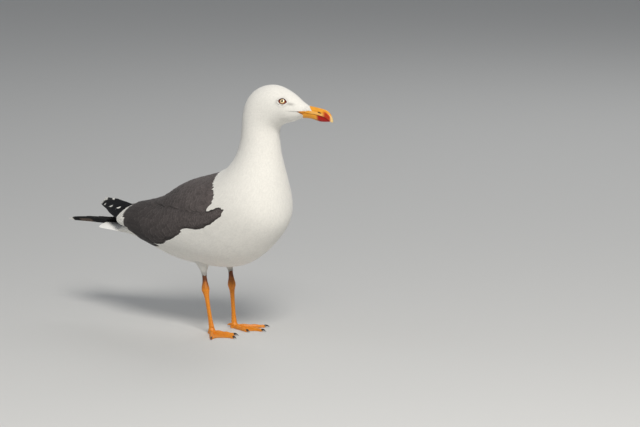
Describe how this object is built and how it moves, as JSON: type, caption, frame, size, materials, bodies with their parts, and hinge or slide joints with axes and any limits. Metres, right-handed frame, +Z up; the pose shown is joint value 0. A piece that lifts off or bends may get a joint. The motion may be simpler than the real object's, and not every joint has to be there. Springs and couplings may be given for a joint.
{
  "type": "lesser black-backed gull model",
  "caption": "Life-size still model of an adult lesser black-backed gull, standing alert on both webbed feet with its wings folded and their tips crossed over the tail.",
  "frame": {"origin": "on the floor, under the middle of the bounding box", "axes": "+X ahead, along the body towards the bill; +Y to the bird's left; +Z up"},
  "size_m": [0.4896, 0.1316, 0.3656],
  "materials": {
    "white_plumage": "soft matte feathers",
    "slate_plumage": "matte slate-grey feathers",
    "black_plumage": "satin black flight feathers with white tips",
    "eye": "wet gloss",
    "bill_horn": "smooth satin horn",
    "leg_skin": "scaly satin skin",
    "claw": "dull gloss horn"
  },
  "bodies": {
    "root": {"head": "white_plumage", "neck": "white_plumage", "trunk": "white_plumage", "thigh_right": "white_plumage", "thigh_left": "white_plumage", "tail": "white_plumage", "mantle": "slate_plumage", "wing_right": "slate_plumage", "wing_left": "slate_plumage", "primaries_right": "black_plumage", "primaries_left": "black_plumage", "eye_right": "eye", "eye_left": "eye", "bill_upper": "bill_horn", "bill_lower": "bill_horn", "leg_right": "leg_skin", "leg_left": "leg_skin", "foot_right": "leg_skin", "foot_left": "leg_skin", "claw_inner_right": "claw", "claw_middle_right": "claw", "claw_outer_right": "claw", "claw_inner_left": "claw", "claw_middle_left": "claw", "claw_outer_left": "claw"}
  },
  "joints": []
}
